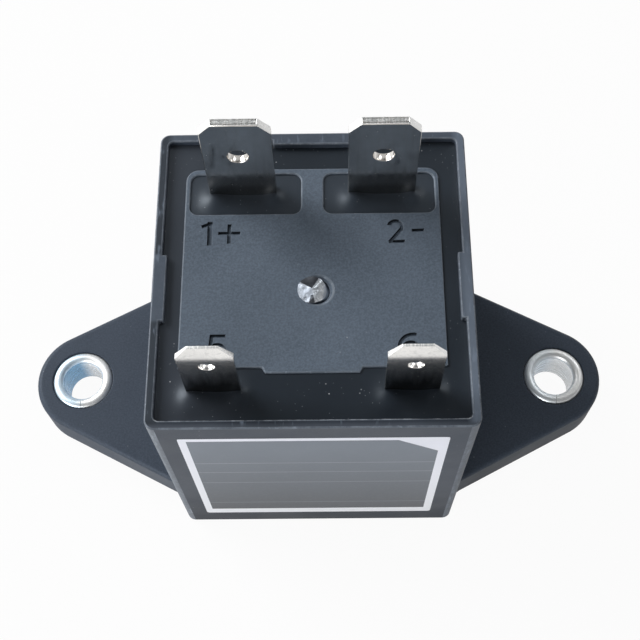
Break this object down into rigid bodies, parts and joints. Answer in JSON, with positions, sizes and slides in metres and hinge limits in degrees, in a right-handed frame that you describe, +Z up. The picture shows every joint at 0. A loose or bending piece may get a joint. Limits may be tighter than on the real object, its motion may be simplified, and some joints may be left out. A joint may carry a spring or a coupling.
{
  "type": "high voltage dc contactor",
  "caption": "Small potted high voltage DC contactor: square case with a mounting ear on each side, bushed screw holes, push-on load and coil tabs on top, and a plunger drive inside.",
  "frame": {"origin": "middle of the underside of the case, on the mounting plane", "axes": "+Z up toward the tabs, +X from ear to ear with the mark 2- on that side, the label face looks toward -Y"},
  "size_m": [0.0632, 0.0296, 0.0424],
  "materials": {
    "case_plastic": "fine moulded texture, charcoal",
    "cover_plastic": "satin moulding, charcoal",
    "potting_resin": "cast resin, dark",
    "zinc_steel": "zinc plated",
    "label_film": "printed film with bare fields",
    "tinned_tab": "tin plated",
    "tube_metal": "plated, crimped",
    "contact_silver": "silver alloy",
    "chamber_ceramic": "fired, unglazed",
    "magnet": "sintered",
    "copper": "copper",
    "spring_steel": "drawn wire",
    "bobbin_plastic": "moulded",
    "shaft_steel": "ground",
    "soft_iron": "nickel plated iron",
    "rubber_pad": "moulded rubber",
    "winding_copper": "enamelled wire"
  },
  "bodies": {
    "base": {"case": "case_plastic", "mounting_bushes": "zinc_steel", "inner_cover": "cover_plastic", "potting": "potting_resin", "rating_label": "label_film", "load_terminal_1": "tinned_tab", "load_terminal_2": "tinned_tab", "coil_terminal_5": "tinned_tab", "coil_terminal_6": "tinned_tab", "sealing_tube": "tube_metal", "fixed_contacts": "contact_silver", "arc_chamber": "chamber_ceramic", "blowout_magnets": "magnet", "return_spring": "spring_steel", "fixed_core": "soft_iron", "plunger_can": "shaft_steel", "buffer_pad": "rubber_pad", "bobbin": "bobbin_plastic", "coil_winding": "winding_copper", "coil_leads": "winding_copper", "yoke_frame": "soft_iron", "yoke_plate": "soft_iron"},
    "plunger": {"plunger": "soft_iron", "plunger_shaft": "shaft_steel", "bridge_carrier": "bobbin_plastic", "retaining_ring": "spring_steel", "contact_spring": "spring_steel"},
    "bridge": {"contact_bridge": "copper", "bridge_contacts": "contact_silver"}
  },
  "joints": [
    {"name": "plunger_slide", "type": "slide", "parent": "base", "child": "plunger", "axis": [0, 0, 1], "range_m": [0, 0.0018], "stiffness_N_per_m": 400, "springref_m": -0.004, "deforming": ["return_spring"]},
    {"name": "bridge_slide", "type": "slide", "parent": "plunger", "child": "bridge", "axis": [0, 0, 1], "range_m": [-0.0004, 0], "deforming": ["contact_spring"]}
  ],
  "couplings": [
    {"joint": "bridge_slide", "follows": "plunger_slide", "ratio": -0.2222}
  ]
}
